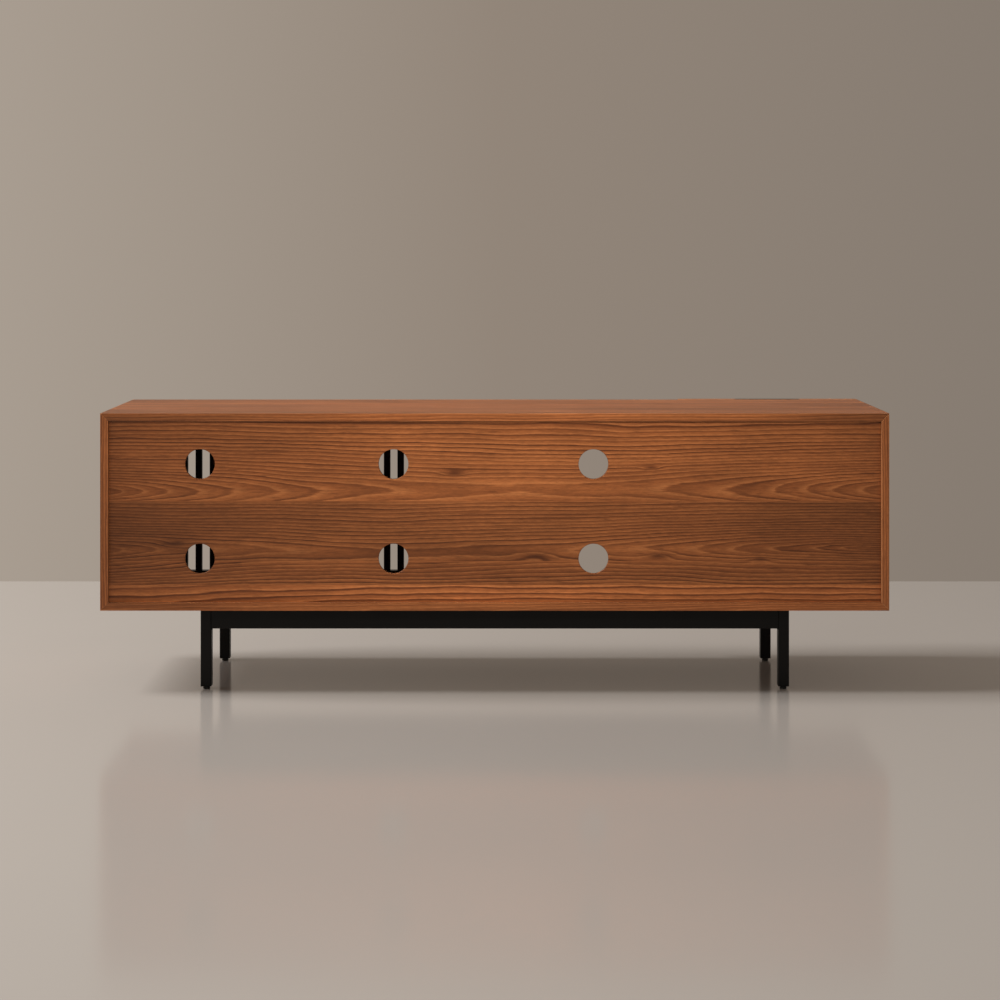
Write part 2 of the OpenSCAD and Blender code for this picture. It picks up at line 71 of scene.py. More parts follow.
class Graph:
    """A material's node tree, with short calls for the nodes that the materials share."""

    def __init__(self, name):
        self.material = bpy.data.materials.new(name)
        self.material.use_nodes = True
        self.tree = self.material.node_tree
        self.tree.nodes.clear()
        self.shader = self.add("ShaderNodeBsdfPrincipled")
        output = self.add("ShaderNodeOutputMaterial")
        self.tree.links.new(self.shader.outputs[0], output.inputs["Surface"])
        self.place = self.add("ShaderNodeTexCoord")

    def add(self, kind, inputs=None, **settings):
        node = self.tree.nodes.new(kind)
        for key, value in settings.items():
            setattr(node, key, value)
        for key, value in (inputs or {}).items():
            self.feed(node.inputs[key], value)
        return node

    def feed(self, socket, value):
        """Links a socket, or sets its value."""
        if isinstance(value, bpy.types.NodeSocket):
            self.tree.links.new(value, socket)
        else:
            socket.default_value = value

    def math(self, operation, *values):
        node = self.add("ShaderNodeMath", operation=operation)
        for i, value in enumerate(values):
            self.feed(node.inputs[i], value)
        return node.outputs[0]

    def vector(self, x, y, z):
        return self.add("ShaderNodeCombineXYZ", {0: x, 1: y, 2: z}).outputs[0]

    def axes(self):
        """The three coordinates of a point in the row frame."""
        split = self.add("ShaderNodeSeparateXYZ", {0: self.place.outputs["Object"]})
        return {"x": split.outputs[0], "y": split.outputs[1], "z": split.outputs[2]}

    def stretched(self, scales):
        """The row frame's coordinates, each times its own scale."""
        axes = self.axes()
        return self.vector(*[self.math("MULTIPLY", axes[k], scales[k]) for k in "xyz"])

    def fibres(self, point, along, across, shift=0.0):
        """A point along, across and below the grain, scaled so that noise there draws fibres."""
        a, b, c = point
        return self.vector(
            self.math("MULTIPLY_ADD", a, along, shift),
            self.math("MULTIPLY", b, across),
            self.math("MULTIPLY", c, across),
        )

    def waves(self, point, along, across, shift, seed):
        """A point along and across the grain, scaled so that noise there draws long waves."""
        a, b = point[:2]
        wave_a = self.math("MULTIPLY_ADD", a, along, shift)
        return self.vector(wave_a, self.math("MULTIPLY", b, across), seed)

    def noise(self, at, scale=1.0, detail=2.0, roughness=0.5):
        inputs = {"Vector": at, "Scale": scale, "Detail": detail, "Roughness": roughness}
        return self.add("ShaderNodeTexNoise", inputs).outputs["Fac"]

    def random(self, value):
        """A number from 0 to 1 that is different for each value."""
        node = self.add("ShaderNodeTexWhiteNoise", {"W": value}, noise_dimensions="1D")
        return node.outputs["Value"]

    def spread(self, value, low, high, to_low=0.0, to_high=1.0):
        """Maps low..high to to_low..to_high smoothly, and holds it there beyond."""
        node = self.add(
            "ShaderNodeMapRange",
            {"Value": value, 1: low, 2: high, 3: to_low, 4: to_high},
            interpolation_type="SMOOTHSTEP",
        )
        return node.outputs[0]

    def ramp(self, value, stops):
        node = self.add("ShaderNodeValToRGB", {"Fac": value})
        elements = node.color_ramp.elements
        while len(elements) < len(stops):
            elements.new(0.5)
        for element, (position, colour) in zip(elements, stops):
            element.position = position
            element.color = (*colour, 1.0)
        return node.outputs["Color"]

    def mix(self, factor, a, b, blend="MIX"):
        node = self.add("ShaderNodeMix", data_type="RGBA", blend_type=blend)
        self.feed(node.inputs[0], factor)
        self.feed(node.inputs[6], a if isinstance(a, bpy.types.NodeSocket) else (*a, 1.0))
        self.feed(node.inputs[7], b if isinstance(b, bpy.types.NodeSocket) else (*b, 1.0))
        return node.outputs[2]

    def bump(self, height, strength, distance):
        inputs = {"Height": height, "Strength": strength, "Distance": distance}
        node = self.add("ShaderNodeBump", inputs)
        self.feed(self.shader.inputs["Normal"], node.outputs[0])

    def finish(self, colour, roughness, **constants):
        """Sets the shader: colour and roughness may be sockets, the rest are plain numbers."""
        if not isinstance(colour, bpy.types.NodeSocket):
            colour = (*colour, 1.0)
        self.feed(self.shader.inputs["Base Color"], colour)
        self.feed(self.shader.inputs["Roughness"], roughness)
        for key, value in constants.items():
            self.shader.inputs[key.replace("_", " ")].default_value = value
        return self.material


# ---------------------------------------------------------------- walnut

WALNUT_LIGHT = (0.480, 0.174, 0.055)
WALNUT_GROUND = (0.360, 0.117, 0.034)
WALNUT_DEEP = (0.225, 0.067, 0.019)
WALNUT_LINE = (0.078, 0.020, 0.006)
# The colour of a painted highlight on the arrises
WALNUT_ARRIS_HIGHLIGHT = (0.76, 0.38, 0.18)
WALNUT_PORE = (0.070, 0.021, 0.007)

# One leaf of veneer. start is where it begins across the grain. The trunk's heart line lies at
# heart across the grain and depth below the face; slope and curve let it rise along the grain,
# which draws the pointed figures. Each metre of radius has density rings less widen per metre.
Leaf = namedtuple("Leaf", "start heart depth slope curve density widen tone")

# A knot: its place along and across the grain, and its size
Knot = namedtuple("Knot", "along across size")


def plain_leaves(seed, starts, middle):
    """Straight-grained leaves for a board, different for each seed. The first start lies beyond
    the board's edge."""
    chance = random.Random(seed)
    leaves = []
    for start in starts:
        side = chance.choice((-1, 1))
        leaves.append(
            Leaf(
                start=start,
                heart=middle + side * chance.uniform(0.03, 0.22),
                depth=chance.uniform(0.03, 0.07),
                slope=chance.uniform(-0.03, 0.03),
                curve=chance.uniform(-0.03, 0.05),
                density=chance.uniform(130, 170),
                widen=chance.uniform(100, 200),
                tone=chance.uniform(0.92, 1.10),
            )
        )
    return leaves


def stepped(g, across, leaves, field):
    """The value of one field of the leaf that a point lies on."""
    value = getattr(leaves[0], field)
    for before, leaf in zip(leaves, leaves[1:]):
        on_leaf = g.math("GREATER_THAN", across, leaf.start)
        change = getattr(leaf, field) - getattr(before, field)
        value = g.math("MULTIPLY_ADD", on_leaf, change, value)
    return value


def grain_axes(g, board, along, across):
    """A point's place along, across and below the grain, whether it is on an edge of the board, and
    how squarely the surface there faces one of the axes. Each edge carries a strip of veneer of
    its own, whose grain runs along the edge."""
    strip_offset = 0.37
    strip_start = 0.043
    strip_spread = 1.6
    faces_end = 0.75
    faces_edge = 0.7
    axes = g.axes()
    depth = [k for k in "xyz" if k not in (along, across)][0]
    low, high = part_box(board)
    middle = {k: (getattr(low, k) + getattr(high, k)) / 2 for k in "xyz"}
    a = g.math("SUBTRACT", axes[along], middle[along])
    c = g.math("SUBTRACT", axes[depth], middle[depth])

    normal = g.add("ShaderNodeSeparateXYZ", {0: g.place.outputs["Normal"]})
    facing = {k: g.math("ABSOLUTE", normal.outputs["xyz".index(k)]) for k in (along, across, depth)}
    on_end = g.math("GREATER_THAN", facing[along], faces_end)
    on_edge = g.math("MAXIMUM", on_end, g.math("GREATER_THAN", facing[across], faces_edge))
    on_face = g.math("SUBTRACT", 1.0, on_edge)
    turned_a = g.math("SUBTRACT", axes[across], middle[across] + strip_offset)
    a = g.mix(on_end, g.vector(a, 0, 0), g.vector(turned_a, 0, 0))
    a = g.add("ShaderNodeSeparateXYZ", {0: a}).outputs[0]
    strip = g.math("MULTIPLY_ADD", c, strip_spread, middle[across] - strip_start)
    b = g.math("MULTIPLY_ADD", axes[across], on_face, g.math("MULTIPLY", strip, on_edge))
    c = g.math("MULTIPLY", c, on_face)
    squarest = g.math("MAXIMUM", facing[along], g.math("MAXIMUM", facing[across], facing[depth]))
    return (a, b, c), on_edge, squarest


def pull_of_knots(g, a, b, knots):
    """How strongly the knots pull on the rings at a point: 1 in the heart of a knot."""
    drawn_out = 4.0
    pull = 0.0
    for knot in knots:
        off_a = g.math("DIVIDE", g.math("SUBTRACT", a, knot.along), knot.size * drawn_out)
        off_b = g.math("DIVIDE", g.math("SUBTRACT", b, knot.across), knot.size)
        away = g.math("ADD", g.math("POWER", off_a, 2.0), g.math("POWER", off_b, 2.0))
        pull = g.math("ADD", pull, g.math("EXPONENT", g.math("MULTIPLY", away, -1.0)))
    return pull


def trunk(g, point, leaf, slow):
    """The number of rings from the heart of the trunk, and how steeply they meet the surface."""
    bend = 0.035
    a, b, c = point
    wander = g.math("SUBTRACT", g.noise(slow, 1.0, 2.0), 0.5)
    off_b = g.math("SUBTRACT", g.math("MULTIPLY_ADD", wander, bend, b), leaf["heart"])
    rise = g.math("MULTIPLY", g.math("MULTIPLY", a, a), leaf["curve"])
    off_c = g.math("MULTIPLY_ADD", a, leaf["slope"], g.math("SUBTRACT", leaf["depth"], rise))
    off_c = g.math("ADD", off_c, c)
    squares = g.math("ADD", g.math("POWER", off_b, 2.0), g.math("POWER", off_c, 2.0))
    radius = g.math("SQRT", squares)
    per_metre = g.math("SUBTRACT", leaf["density"], g.math("MULTIPLY", radius, leaf["widen"]))
    steep = g.math("DIVIDE", g.math("ABSOLUTE", off_b), radius)
    return g.math("MULTIPLY", radius, per_metre), steep


def ring_marks(g, turns, steep, on_edge, leaf_shift):
    """How much early wood, late wood and dark line shows at a point. Early wood is light; the late
    wood darkens to a line that ends sharply, more on some rings than on others."""
    ring = g.math("FRACT", turns)
    chance = g.random(g.math("ADD", g.math("FLOOR", turns), leaf_shift))
    early = g.math("MULTIPLY", g.spread(ring, 0.40, 0.05), g.spread(ring, 0.0, 0.06))
    late = g.math("MULTIPLY", g.spread(ring, 0.25, 0.85), g.spread(ring, 1.0, 0.92))
    late = g.math("MULTIPLY", late, g.spread(chance, 0.0, 1.0, 0.55, 1.0))
    late = g.math("MULTIPLY", late, g.spread(steep, 0.05, 0.75, 0.30, 1.0))
    line = g.math("MULTIPLY", g.spread(ring, 0.58, 0.84), g.spread(ring, 1.0, 0.93))
    line = g.math("MULTIPLY", line, g.spread(chance, 0.1, 0.9, 0.36, 0.80))
    line = g.math("MULTIPLY", line, g.math("MULTIPLY_ADD", on_edge, -0.55, 1.0))
    line = g.math("MULTIPLY", line, g.spread(steep, 0.05, 0.6, 0.45, 1.0))
    return early, late, line


def lightness(g, point, leaf_tone, board_tone, slow, bands, seed):
    """How light the veneer is at a point: the tones of its leaf and of its board, slow clouds, broad
    bands along the grain, and short flecks where the fibres dip in and out of the surface."""
    cloud = g.spread(g.noise(slow, 2.3, 2.0), 0.25, 0.75, 0.84, 1.11)
    band = g.noise(g.waves(point, 0.9, 22.0, seed, seed), 1.0, 2.0)
    band = g.spread(band, 0.35, 0.65, 1.0 - bands, 1.0 + bands)
    fleck = g.noise(g.fibres(point, 55.0, 300.0, seed), 1.0, 2.0, 0.6)
    fleck = g.spread(fleck, 0.3, 0.7, 0.88, 1.12)
    level = g.math("MULTIPLY", leaf_tone, cloud)
    for part in (board_tone, band, fleck):
        level = g.math("MULTIPLY", level, part)
    return level


def walnut(
    board, along, across, leaves, seed, knots=(), tone=1.0, edge_tone=1.0, bands=0.10, arris_highlight=0.45
):
    """Oiled walnut veneer. along and across are the axes of the grain on the board's face, the
    tones are how light its faces and its edges are, bands is how much broad bands along the grain
    differ, and the last argument is the strength of a painted highlight on the arrises."""
    g = Graph("walnut_" + board)
    point, on_edge, squarest = grain_axes(g, board, along, across)
    a, b = point[:2]
    leaf = {f: stepped(g, b, leaves, f) for f in Leaf._fields if f != "start"}

    # Each leaf has noise of its own
    leaf_shift = g.math("MULTIPLY_ADD", leaf["density"], 0.731, seed)
    slow = g.waves(point, 1.3, 4.0, leaf_shift, seed)
    brisk = g.waves(point, 4.0, 22.0, leaf_shift, seed)

    # The rings wander, knots pull at them, and fibres blur them, each by so many rings
    by_wander, by_knots, by_fibres = 1.3, 0.9, 0.30
    turns, steep = trunk(g, point, leaf, slow)
    wander = g.math("SUBTRACT", g.noise(brisk, 1.0, 2.0), 0.5)
    turns = g.math("MULTIPLY_ADD", wander, by_wander, turns)
    knot_pull = pull_of_knots(g, a, b, knots)
    turns = g.math("MULTIPLY_ADD", knot_pull, by_knots, turns)
    fibre = g.noise(g.fibres(point, 13.0, 300.0, seed), 1.0, 4.0, 0.7)
    turns = g.math("MULTIPLY_ADD", fibre, by_fibres, turns)
    early, late, line = ring_marks(g, turns, steep, on_edge, leaf_shift)

    # The colour, from streaks to rings, fibres and the hearts of the knots
    streak = g.noise(g.fibres(point, 1.6, 42.0, seed), 1.0, 4.0, 0.6)
    colour = g.mix(g.spread(streak, 0.35, 0.68, 0.3, 1.0), WALNUT_DEEP, WALNUT_GROUND)
    colour = g.mix(g.math("MULTIPLY", early, 0.60), colour, WALNUT_LIGHT)
    colour = g.mix(g.math("MULTIPLY", late, 0.50), colour, WALNUT_DEEP)
    colour = g.mix(line, colour, WALNUT_LINE)
    colour = g.mix(g.spread(fibre, 0.48, 0.28, 0.0, 0.55), colour, WALNUT_LINE)
    if knots:
        core = g.math("MULTIPLY", g.math("POWER", knot_pull, 2.5), 0.8)
        colour = g.mix(core, colour, WALNUT_LINE)
    board_tone = g.math("MULTIPLY_ADD", on_edge, edge_tone - tone, tone)
    level = lightness(g, point, leaf["tone"], board_tone, slow, bands, seed)
    colour = g.mix(1.0, colour, g.vector(level, level, level), "MULTIPLY")

    # Open pores are short dark dashes, and each joint between two leaves is a fine line
    pores = g.spread(g.noise(g.fibres(point, 70.0, 1700.0), 1.0, 1.0), 0.60, 0.72)
    colour = g.mix(g.math("MULTIPLY", pores, 0.40), colour, WALNUT_PORE)
    for leaf_edge in leaves[1:]:
        gap = g.math("ABSOLUTE", g.math("SUBTRACT", b, leaf_edge.start))
        colour = g.mix(g.spread(gap, 0.0013, 0.0005, 0.0, 0.5), colour, WALNUT_GROUND)

    # Painted highlight: the arrises, where the surface turns away from the three axes, are lightened
    # as if they caught the light
    colour = g.mix(g.spread(squarest, 0.995, 0.92, 0.0, arris_highlight), colour, WALNUT_ARRIS_HIGHLIGHT)

    g.bump(g.math("MULTIPLY_ADD", pores, -1.0, g.math("MULTIPLY", fibre, 0.6)), 0.30, 0.0002)
    return g.finish(colour, g.spread(fibre, 0.3, 0.7, 0.52, 0.40), Specular_IOR_Level=0.38)


# ---------------------------------------------------------------- other materials


def powder_coat(name):
    """Satin black powder coat with a fine orange peel."""
    g = Graph(name)
    at = g.place.outputs["Object"]
    wear = g.noise(at, 14.0, 3.0, 0.6)
    colour = g.ramp(wear, [(0.3, (0.0020, 0.0020, 0.0020)), (0.75, (0.0033, 0.0032, 0.0031))])
    g.bump(g.noise(at, 900.0, 2.0), 0.12, 0.0003)
    return g.finish(colour, g.spread(wear, 0.3, 0.7, 0.42, 0.50), Specular_IOR_Level=0.22)


def black_lacquer(name, along):
    """Black lacquer over wood, whose grain shows as a faint relief."""
    g = Graph(name)
    grain = g.noise(g.stretched({k: (9.0 if k == along else 260.0) for k in "xyz"}), 1.0, 3.0, 0.6)
    colour = g.ramp(grain, [(0.3, (0.0050, 0.0047, 0.0046)), (0.8, (0.0115, 0.0105, 0.0098))])
    g.bump(grain, 0.25, 0.0003)
    return g.finish(colour, g.spread(grain, 0.3, 0.7, 0.46, 0.36))


def birch_ply(name, along, thickness):
    """Birch plywood, its plies showing on the edges across the thickness."""
    g = Graph(name)
    axes = g.axes()
    other = [k for k in "xyz" if k not in (along, thickness)][0]
    a, b, c = axes[along], axes[other], axes[thickness]
    flame = g.noise(g.vector(g.math("MULTIPLY", a, 4.0), g.math("MULTIPLY", b, 30.0), c), 1.0, 3.0)
    fibre = g.noise(g.fibres((a, b, c), 9.0, 420.0), 1.0, 3.0, 0.6)
    face = g.ramp(
        flame, [(0.25, (0.50, 0.35, 0.19)), (0.5, (0.63, 0.47, 0.28)), (0.8, (0.71, 0.56, 0.36))]
    )
    face = g.mix(g.spread(fibre, 0.55, 0.25, 0.0, 0.35), face, (0.36, 0.22, 0.11))
    layer = g.spread(g.math("PINGPONG", c, 0.0013), 0.0004, 0.0009)
    edge = g.mix(layer, (0.30, 0.18, 0.09), (0.62, 0.46, 0.28))
    normal = g.add("ShaderNodeSeparateXYZ", {0: g.place.outputs["Normal"]})
    facing = g.math("ABSOLUTE", normal.outputs["xyz".index(thickness)])
    colour = g.mix(g.spread(facing, 0.4, 0.6), edge, face)
    g.bump(fibre, 0.15, 0.0002)
    return g.finish(colour, g.spread(fibre, 0.3, 0.7, 0.52, 0.40), Coat_Weight=0.10)


def zinc(name):
    """Bright zinc plating: rolled streaks and a faint cloud."""
    g = Graph(name)
    rolled = g.noise(g.stretched({"x": 260.0, "y": 7.0, "z": 260.0}), 1.0, 3.0)
    cloud = g.noise(g.place.outputs["Object"], 38.0, 2.0)
    colour = g.ramp(cloud, [(0.3, (0.52, 0.55, 0.58)), (0.7, (0.70, 0.71, 0.70))])
    g.bump(rolled, 0.08, 0.0002)
    return g.finish(colour, g.spread(rolled, 0.3, 0.7, 0.34, 0.46), Metallic=1.0)


def moulded_plastic(name, dark, light, roughness):
    """Moulded plastic with a fine spark-eroded skin."""
    g = Graph(name)
    at = g.place.outputs["Object"]
    cloud = g.noise(at, 45.0, 2.0)
    colour = g.ramp(cloud, [(0.3, dark), (0.7, light)])
    g.bump(g.noise(at, 2200.0, 2.0), 0.15, 0.0001)
    return g.finish(colour, g.spread(cloud, 0.3, 0.7, roughness + 0.06, roughness - 0.04))


def beech(name, along):
    """Raw beech of the dowels and splines: short flecks along the grain."""
    g = Graph(name)
    fleck = g.noise(g.stretched({k: (30.0 if k == along else 520.0) for k in "xyz"}), 1.0, 3.0)
    colour = g.ramp(fleck, [(0.3, (0.36, 0.20, 0.10)), (0.7, (0.56, 0.36, 0.21))])
    g.bump(fleck, 0.2, 0.0002)
    return g.finish(colour, 0.6)


# ---------------------------------------------------------------- CAD nodes

CORNERS = ("front_left", "front_right", "rear_left", "rear_right")

# Faces that turn less than the first angle are one flat face, and edges that turn more than the
# second are sharp, in degrees
FLAT_ANGLE = 0.5
SHARP_ANGLE = 35.0

# Radii that the sharp edges are rounded to: veneered boards, slats, door frames, drawer boxes,
# tubes and fittings, small parts, and thin sheet
BOARD_EDGE = 0.0016
SLAT_EDGE = 0.0015
DOOR_EDGE = 0.0010
PLY_EDGE = 0.0005
FITTING_EDGE = 0.0004
SMALL_EDGE = 0.0003
SHEET_EDGE = 0.0002


def dress(name, material, edge):
    """Gives a CAD node its material and rounds its sharp edges to a small radius."""
    node = nodes[name]
    node.data.materials.clear()
    node.data.materials.append(material)
    weld = node.modifiers.new("weld", "WELD")
    weld.merge_threshold = 0.00001
    flat = node.modifiers.new("flat faces", "DECIMATE")
    flat.decimate_type = "DISSOLVE"
    flat.angle_limit = math.radians(FLAT_ANGLE)
    bevel = node.modifiers.new("edges", "BEVEL")
    bevel.width = edge
    bevel.segments = 3
    bevel.limit_method = "ANGLE"
    bevel.angle_limit = math.radians(SHARP_ANGLE)
    bevel.harden_normals = True


def back_leaves():
    """The four leaves of the back panel, from the bottom up."""
    return [
        Leaf(0.0, 0.10, 0.060, 0.020, -0.02, 150, 230, 1.30),
        Leaf(0.247, 0.335, 0.060, -0.010, 0.02, 190, 160, 0.79),
        Leaf(0.301, 0.325, 0.034, 0.012, 0.04, 210, 420, 0.73),
        Leaf(0.4385, 0.462, 0.050, -0.006, 0.05, 220, 450, 0.98),
    ]


def back_knots():
    return [
        Knot(0.731, 0.342, 0.010),
        Knot(0.093, 0.501, 0.009),
        Knot(-0.096, 0.312, 0.011),
        Knot(-0.374, 0.313, 0.010),
        Knot(-0.607, 0.305, 0.007),
        Knot(-0.358, 0.515, 0.006),
    ]


def dress_case():
    """The veneered boards. The grain runs along the case, and up its sides and partitions."""
    back = walnut("case_back", "x", "z", back_leaves(), 4.6, back_knots(), bands=0.0, arris_highlight=0.0)
    dress("case_back", back, BOARD_EDGE)
    # Painted light and shade: the top's face is darkened, painted shade against the key light falling
    # on it from above, and its edge strips are kept lighter. The edge strips of the left side are
    # lightened, painted light where the key light reaches them least. The top also gets the full
    # painted highlight on its arrises, and stronger bands along its grain.
    looks = {
        "case_top": {"tone": 0.77, "edge_tone": 0.88, "bands": 0.20, "arris_highlight": 1.0},
        "case_side_left": {"edge_tone": 1.18},
    }
    level = ("case_top", "case_bottom", "shelf_open", "shelf_inner", "shelf_outer")
    for seed, name in enumerate(level):
        leaves = plain_leaves(seed, (-1.0, -0.08, 0.06), 0.0)
        board = walnut(name, "x", "y", leaves, seed + 7.3, **looks.get(name, {}))
        dress(name, board, BOARD_EDGE)
    sides = ("case_side_left", "case_side_right")
    partitions = ("partition_left", "partition_centre", "partition_right")
    for seed, name in enumerate(sides + partitions, 10):
        leaves = plain_leaves(seed, (-1.0, 0.03), 0.0)
        board = walnut(name, "z", "y", leaves, seed + 0.7, **looks.get(name, {}))
        dress(name, board, BOARD_EDGE)
    for seed, name in enumerate(("lower_drawer_front", "upper_drawer_front"), 20):
        low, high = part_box(name)
        leaves = plain_leaves(seed, (0.0, (low.z + high.z) / 2 + 0.02), low.z)
        dress(name, walnut(name, "x", "z", leaves, seed + 0.5), BOARD_EDGE)
    dress("dowels", beech("beech_dowels", "z"), FITTING_EDGE)
    dress("corner_splines", beech("beech_splines", "y"), SMALL_EDGE)
    dress("shelf_pins", METAL, SMALL_EDGE)


def dress_doors():
    upright = black_lacquer("black_lacquer_upright", "z")
    level = black_lacquer("black_lacquer_level", "x")
    for door in ("outer_door", "inner_door"):
        dress(door + "_stiles", upright, DOOR_EDGE)
        dress(door + "_rails", level, DOOR_EDGE)
        dress(door + "_slats", upright, SLAT_EDGE)
        dress(door + "_pivots", METAL, SMALL_EDGE)
        dress(door + "_strike", METAL, SHEET_EDGE)
    acetal = moulded_plastic("acetal", (0.52, 0.50, 0.46), (0.62, 0.60, 0.55), 0.4)
    dress("pivot_bushes", acetal, SHEET_EDGE)
    dress("magnet_catches", BLACK_PLASTIC, FITTING_EDGE)


def dress_drawers():
    grain = {"front": ("x", "y"), "back": ("x", "y"), "sides": ("y", "x"), "floor": ("x", "z")}
    for drawer in ("upper", "lower"):
        dress(drawer + "_drawer_pull", BLACK_STEEL, SMALL_EDGE)
        for board, (along, thickness) in grain.items():
            ply = birch_ply(f"birch_{drawer}_{board}", along, thickness)
            dress(f"{drawer}_box_{board}", ply, PLY_EDGE)
        for member in ("fixed", "middle", "moving"):
            dress(f"{drawer}_runner_{member}", METAL, SHEET_EDGE)


def dress_base():
    for corner in CORNERS:
        dress("leg_" + corner, BLACK_STEEL, FITTING_EDGE)
        dress("foot_" + corner, BLACK_PLASTIC, FITTING_EDGE)
    for side in ("front", "rear", "left", "right"):
        dress("rail_" + side, BLACK_STEEL, FITTING_EDGE)
    dress("base_tabs", BLACK_STEEL, FITTING_EDGE)
    dress("base_screws", METAL, FITTING_EDGE)
    dress("leg_inserts", BLACK_PLASTIC, SMALL_EDGE)


# ---------------------------------------------------------------- small fixings

QUARTER = math.pi / 2

# A ring's number of sides
ROUND = 0
HEX = 6
Ring = namedtuple("Ring", "height radius sides")


def turned(rings, around=48):
    """A closed solid through rings from one end to the other. A ring of HEX sides is a hexagon
    whose radius is measured to its flats."""
    solid = bmesh.new()
    loops = []
    for ring in rings:
        loop = []
        for i in range(around):
            angle = 2 * math.pi * i / around
            radius = ring.radius
            if ring.sides:
                part = 2 * math.pi / ring.sides
                radius /= math.cos((angle + part / 2) % part - part / 2)
            place = (radius * math.cos(angle), radius * math.sin(angle), ring.height)
            loop.append(solid.verts.new(place))
        loops.append(loop)
    for lower, upper in zip(loops, loops[1:]):
        for i in range(around):
            j = (i + 1) % around
            solid.faces.new((lower[i], lower[j], upper[j], upper[i]))
    solid.faces.new(list(reversed(loops[0])))
    solid.faces.new(loops[-1])
    return solid


def thread(start, end, radius, pitch=0.0012, depth=0.0003):
    """Rings of a screw thread, shown as ridges."""
    count = round(abs(end - start) / pitch * 2)
    step = (end - start) / count
    return [Ring(start + i * step, radius - depth * (i % 2), ROUND) for i in range(count + 1)]


def joined(solids, places):
    """One mesh of several solids, each moved to its place."""
    whole = bmesh.new()
    for solid, place in zip(solids, places):
        part = bpy.data.meshes.new("part")
        solid.to_mesh(part)
        part.transform(place)
        whole.from_mesh(part)
        bpy.data.meshes.remove(part)
    return whole


def add_piece(name, solid, material, body, sharp=30.0):
    """Puts a new piece in the scene, on its body and with the given material. Edges that turn
    less than sharp, in degrees, are shaded smooth."""
    bmesh.ops.recalc_face_normals(solid, faces=solid.faces)
    for edge in solid.edges:
        edge.smooth = edge.calc_face_angle(0.0) < math.radians(sharp)
    for face in solid.faces:
        face.smooth = True
    mesh = bpy.data.meshes.new(name)
    solid.to_mesh(mesh)
    solid.free()
    mesh.materials.append(material)
    piece = bpy.data.objects.new(name, mesh)
    bpy.context.scene.collection.objects.link(piece)
    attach(piece, body)
    return piece


def pan_screw(head_radius, head_height, shank_radius, length):
    """A socket screw with its head up, the head's seat at height 0."""
    socket = head_radius * 0.42
    rings = thread(-length, -0.0004, shank_radius)
    rings += [
        Ring(0.0, head_radius, ROUND),
        Ring(head_height * 0.45, head_radius, ROUND),
        Ring(head_height * 0.75, head_radius * 0.93, ROUND),
        Ring(head_height * 0.93, head_radius * 0.78, ROUND),
        Ring(head_height, head_radius * 0.60, ROUND),
        Ring(head_height * 0.98, socket, HEX),
        Ring(head_height * 0.35, socket, HEX),
    ]
    return turned(rings)


def add_screws(name, places, body, **size):
    """Screws of one size, one at each place, joined in one piece."""
    solid = joined([pan_screw(**size) for _ in places], places)
    return add_piece(name, solid, METAL, body)


def base_fixing_screws():
    """Six socket screws up through the tabs of the base into the bottom of the case."""
    low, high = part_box("base_screws")
    radius = 0.0042
    height = 0.0026
    size = {
        "head_radius": radius,
        "head_height": height,
        "shank_radius": 0.0022,
        "length": high.z - low.z - height,
    }
    places = [
        Matrix.Translation((x, y, low.z + height)) @ Matrix.Rotation(math.pi, 4, "X")
        for x in (low.x + radius, 0.0, high.x - radius)
        for y in (low.y + radius, high.y - radius)
    ]
    piece = add_screws("socket_screws", places, "case", **size)
    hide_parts("base_screws")


def catch_screws():
    """Two screws in the side of each magnetic catch, and two flush ones in each strike plate."""
    low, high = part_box("magnet_catches")
    middle_y = (low.y + high.y) / 2
    middle_z = (low.z + high.z) / 2
    half_pitch = 0.013
    places = [
        Matrix.Translation((x, middle_y, middle_z + up)) @ Matrix.Rotation(turn, 4, "Y")
        for x, turn in ((low.x, -QUARTER), (high.x, QUARTER))
        for up in (-half_pitch, half_pitch)
    ]
    size = {"head_radius": 0.0028, "head_height": 0.0009, "shank_radius": 0.0012, "length": 0.008}
    add_screws("catch_screws", places, "case", **size)

    half_pitch = 0.0185
    proud = 0.00008
    size = {"head_radius": 0.0026, "head_height": 0.0006, "shank_radius": 0.0011, "length": 0.007}
    for door in ("outer_door", "inner_door"):
        low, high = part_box(door + "_strike")
        middle_x = (low.x + high.x) / 2
        places = [
            Matrix.Translation((middle_x, high.y + proud - size["head_height"], middle_z + up))
            @ Matrix.Rotation(-QUARTER, 4, "X")
            for up in (-half_pitch, half_pitch)
        ]
        add_screws(door + "_strike_screws", places, door, **size)


def runner_screws():
    """Three screws in each fixed and each moving member of the drawer runners."""
    web = 0.0012
    from_end = 0.035
    size = {"head_radius": 0.0031, "shank_radius": 0.0015, "length": 0.009}
    bay_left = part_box("case_side_left")[1].x
    bay_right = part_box("partition_left")[0].x
    for drawer in ("upper", "lower"):
        box_low, box_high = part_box(drawer + "_box_sides")
        case_seats = ((bay_left + web, QUARTER), (bay_right - web, -QUARTER))
        box_seats = ((box_low.x - web, -QUARTER), (box_high.x + web, QUARTER))
        members = (
            ("fixed", "case", case_seats, 0.0012),
            ("moving", drawer + "_drawer", box_seats, 0.0017),
        )
        for member, body, seats, head_height in members:
            low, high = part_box(f"{drawer}_runner_{member}")
            rows = (low.y + from_end, (low.y + high.y) / 2, high.y - from_end)
            places = [
                Matrix.Translation((x, y, (low.z + high.z) / 2)) @ Matrix.Rotation(turn, 4, "Y")
                for x, turn in seats
                for y in rows
            ]
            name = f"{drawer}_runner_{member}_screws"
            add_screws(name, places, body, head_height=head_height, **size)


